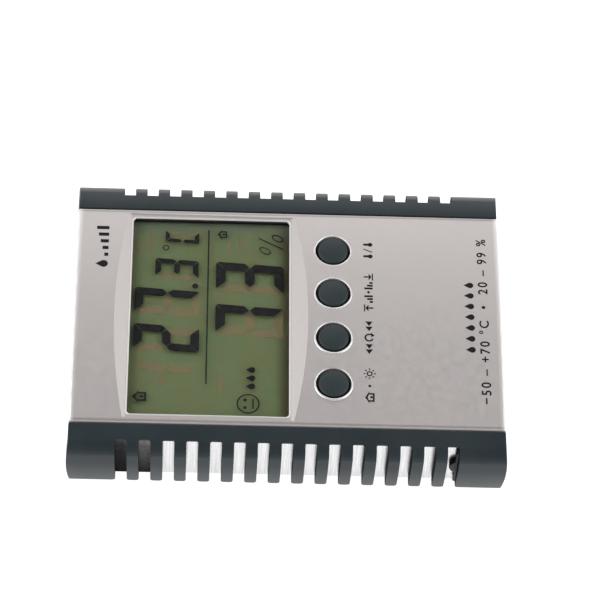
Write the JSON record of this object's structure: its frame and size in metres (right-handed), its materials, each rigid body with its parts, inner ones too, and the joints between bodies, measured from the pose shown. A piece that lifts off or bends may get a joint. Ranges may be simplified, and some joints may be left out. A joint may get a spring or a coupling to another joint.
{
  "type": "maximum minimum thermometer",
  "caption": "Slim desk or wall electronic thermometer and humidity meter with a memory of its highest and lowest readings, a large display, round push-buttons and slotted side rails.",
  "frame": {"origin": "on the table, under the middle of the case as it lies on its back", "axes": "+Z out of the face, +Y to the end above the display, +X to the right-hand rail as the display is read"},
  "size_m": [0.0896, 0.121, 0.021],
  "materials": {
    "silver_paint": "satin silver paint on moulded ABS",
    "slate_plastic": "fine-textured slate ABS",
    "cap_plastic": "smooth slate ABS",
    "clear_window": "clear acrylic",
    "display_cell": "liquid-crystal cell, olive green with dark segments",
    "reflector_foil": "matt reflective film",
    "holder_plastic": "natural white ABS",
    "carbon_rubber": "layered conductive silicone",
    "board_laminate": "green lacquered glass-fibre laminate",
    "black_resin": "black epoxy",
    "bright_metal": "nickel plate",
    "screw_steel": "zinc-plated steel",
    "grey_silicone": "moulded silicone",
    "sensor_plastic": "white moulded plastic",
    "screen_mesh": "black dust screen",
    "bead_glass": "epoxy-dipped bead on tinned legs",
    "cell_jacket": "printed-film jacket, bare of text",
    "lead_red": "red PVC sleeve",
    "lead_black": "black PVC sleeve",
    "black_rubber": "moulded rubber",
    "tape_black": "black double-sided tape"
  },
  "bodies": {
    "case": {"front_shell": "silver_paint", "left_rail": "slate_plastic", "right_rail": "slate_plastic", "rear_cover": "slate_plastic", "stand_pin": "screw_steel", "display_window": "clear_window", "window_tape": "tape_black", "lcd_panel": "display_cell", "lcd_reflector": "reflector_foil", "lcd_frame": "holder_plastic", "zebra_strip_upper": "carbon_rubber", "zebra_strip_lower": "carbon_rubber", "circuit_board": "board_laminate", "chip_cover": "black_resin", "quartz_crystal": "bright_metal", "keypad_mat": "grey_silicone", "key_dome_1": "grey_silicone", "key_dome_2": "grey_silicone", "key_dome_3": "grey_silicone", "key_dome_4": "grey_silicone", "humidity_sensor": "sensor_plastic", "thermistor": "bead_glass", "vent_screen": "screen_mesh", "battery_cell": "cell_jacket", "battery_contact_negative": "bright_metal", "battery_contact_positive": "bright_metal", "battery_lead_negative": "lead_black", "battery_lead_positive": "lead_red", "probe_gland": "black_rubber", "case_screws": "screw_steel", "board_screws": "screw_steel", "rubber_feet": "black_rubber"},
    "battery_door": {"battery_door": "slate_plastic"},
    "stand": {"stand": "slate_plastic"},
    "button_1": {"button_1": "cap_plastic"},
    "button_2": {"button_2": "cap_plastic"},
    "button_3": {"button_3": "cap_plastic"},
    "button_4": {"button_4": "cap_plastic"}
  },
  "joints": [
    {"name": "battery_door_slide", "type": "slide", "parent": "case", "child": "battery_door", "axis": [0, -1, 0], "range_m": [0, 0.022]},
    {"name": "stand_hinge", "type": "hinge", "parent": "case", "child": "stand", "pos_m": [0, 0.022, 0.0029], "axis": [1, 0, 0], "range_deg": [0, 60]},
    {"name": "button_1_press", "type": "slide", "parent": "case", "child": "button_1", "axis": [0, 0, -1], "range_m": [0, 0.0009], "stiffness_N_per_m": 300, "deforming": ["key_dome_1"]},
    {"name": "button_2_press", "type": "slide", "parent": "case", "child": "button_2", "axis": [0, 0, -1], "range_m": [0, 0.0009], "stiffness_N_per_m": 300, "deforming": ["key_dome_2"]},
    {"name": "button_3_press", "type": "slide", "parent": "case", "child": "button_3", "axis": [0, 0, -1], "range_m": [0, 0.0009], "stiffness_N_per_m": 300, "deforming": ["key_dome_3"]},
    {"name": "button_4_press", "type": "slide", "parent": "case", "child": "button_4", "axis": [0, 0, -1], "range_m": [0, 0.0009], "stiffness_N_per_m": 300, "deforming": ["key_dome_4"]}
  ]
}
